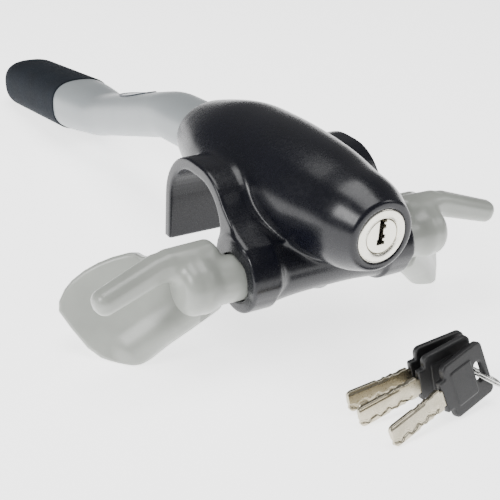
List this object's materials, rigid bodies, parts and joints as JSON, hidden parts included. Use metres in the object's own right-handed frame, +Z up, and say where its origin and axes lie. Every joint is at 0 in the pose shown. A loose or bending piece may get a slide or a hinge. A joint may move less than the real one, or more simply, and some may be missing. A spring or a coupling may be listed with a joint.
{
  "type": "steering-wheel lock",
  "caption": "Locking bar for a steering wheel: a cast head holds the rim in a channel, hinged claws close round it, a key lock holds them, and a long bar ends in a foam grip.",
  "frame": {"origin": "centre of the flat rim seat at the top of the rim channel, in the middle of the casting", "axes": "+X along the rim channel, +Y towards the hand grip, +Z up from the table the lock lies on; the rim seat faces -Z"},
  "size_m": [0.1984, 0.42, 0.0855],
  "materials": {
    "gloss_coat": "gloss",
    "grey_enamel": "satin",
    "silver_paint": "satin",
    "lock_face": "satin",
    "steel": "machined",
    "bronze": "machined",
    "brass": "machined",
    "foam": "matt closed-cell foam",
    "badge": "satin",
    "nickel_brass": "nickel plated",
    "key_plastic": "matt",
    "chromed_wire": "bright"
  },
  "bodies": {
    "housing": {"casting": "gloss_coat", "bush_left": "bronze", "bush_right": "bronze", "cylinder_body": "lock_face", "driver_pins": "brass", "pin_springs": "steel", "bolt_spring": "steel", "chamber_plug": "steel", "cylinder_grub_screw": "steel", "handle_bar": "grey_enamel", "handle_pin": "steel", "grip_sleeve": "foam", "grip_end_cap": "foam", "oval_badge": "badge"},
    "clamp": {"pivot_shaft": "steel", "locking_collar": "steel", "collar_pin": "steel", "claw_left": "silver_paint", "claw_right": "silver_paint", "claw_pin_left": "steel", "claw_pin_right": "steel"},
    "core": {"core_plug": "lock_face", "key_pins": "brass", "core_circlip": "steel", "cam": "steel"},
    "bolt": {"locking_bolt": "steel"},
    "key_ring": {"split_ring": "chromed_wire"},
    "key_1": {"key_blade_1": "nickel_brass", "key_head_1": "key_plastic"},
    "key_2": {"key_blade_2": "nickel_brass", "key_head_2": "key_plastic"},
    "key_3": {"key_blade_3": "nickel_brass", "key_head_3": "key_plastic"}
  },
  "joints": [
    {"name": "clamp_swing", "type": "hinge", "parent": "housing", "child": "clamp", "pos_m": [0, -0.0343, -0.0296], "axis": [1, 0, 0], "range_deg": [-70, 0]},
    {"name": "core_turn", "type": "hinge", "parent": "housing", "child": "core", "pos_m": [0, -0.0733, -0.0029], "axis": [0, 1, 0], "range_deg": [0, 90]},
    {"name": "bolt_drop", "type": "slide", "parent": "housing", "child": "bolt", "axis": [0, 0, 1], "range_m": [-0.0026, 0], "deforming": ["bolt_spring"]},
    {"name": "keys_lift", "type": "slide", "parent": "housing", "child": "key_ring", "axis": [0, 0, 1], "range_m": [0, 0.03]},
    {"name": "key_1_swing", "type": "hinge", "parent": "key_ring", "child": "key_1", "pos_m": [0.02566, -0.09409, -0.05193], "axis": [0.128, 0.9762, -0.175], "range_deg": [0, 8]},
    {"name": "key_2_swing", "type": "hinge", "parent": "key_ring", "child": "key_2", "pos_m": [0.02466, -0.0985, -0.051], "axis": [0.041, 0.9935, -0.1059], "range_deg": [0, 8]},
    {"name": "key_3_swing", "type": "hinge", "parent": "key_ring", "child": "key_3", "pos_m": [0.02737, -0.10511, -0.05151], "axis": [-0.083, 0.9365, -0.3408], "range_deg": [0, 8]}
  ],
  "couplings": [
    {"joint": "bolt_drop", "follows": "core_turn", "m_per_rad": -0.0016552}
  ]
}
